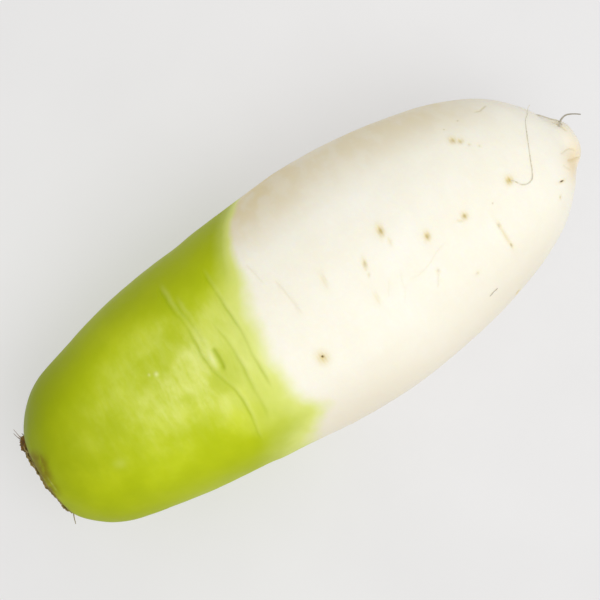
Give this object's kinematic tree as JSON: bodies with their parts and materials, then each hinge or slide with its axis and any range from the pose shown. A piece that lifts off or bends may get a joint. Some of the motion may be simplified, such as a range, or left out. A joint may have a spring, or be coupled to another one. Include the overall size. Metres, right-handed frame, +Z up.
{
  "type": "daikon radish",
  "caption": "Whole stout daikon radish lying on its side, green at the shoulder and white below, leaves cut off at a brown crown.",
  "frame": {"origin": "on the surface that the radish lies on, under the middle of its bounding box", "axes": "+X along the root from the cut crown to the tail, +Z up, away from the surface"},
  "size_m": [0.2597, 0.1021, 0.098],
  "materials": {
    "radish_skin": "satin",
    "dried_leaf_base": "matte"
  },
  "bodies": {
    "root": {"radish_root": "radish_skin", "leaf_stubs": "dried_leaf_base"}
  },
  "joints": []
}
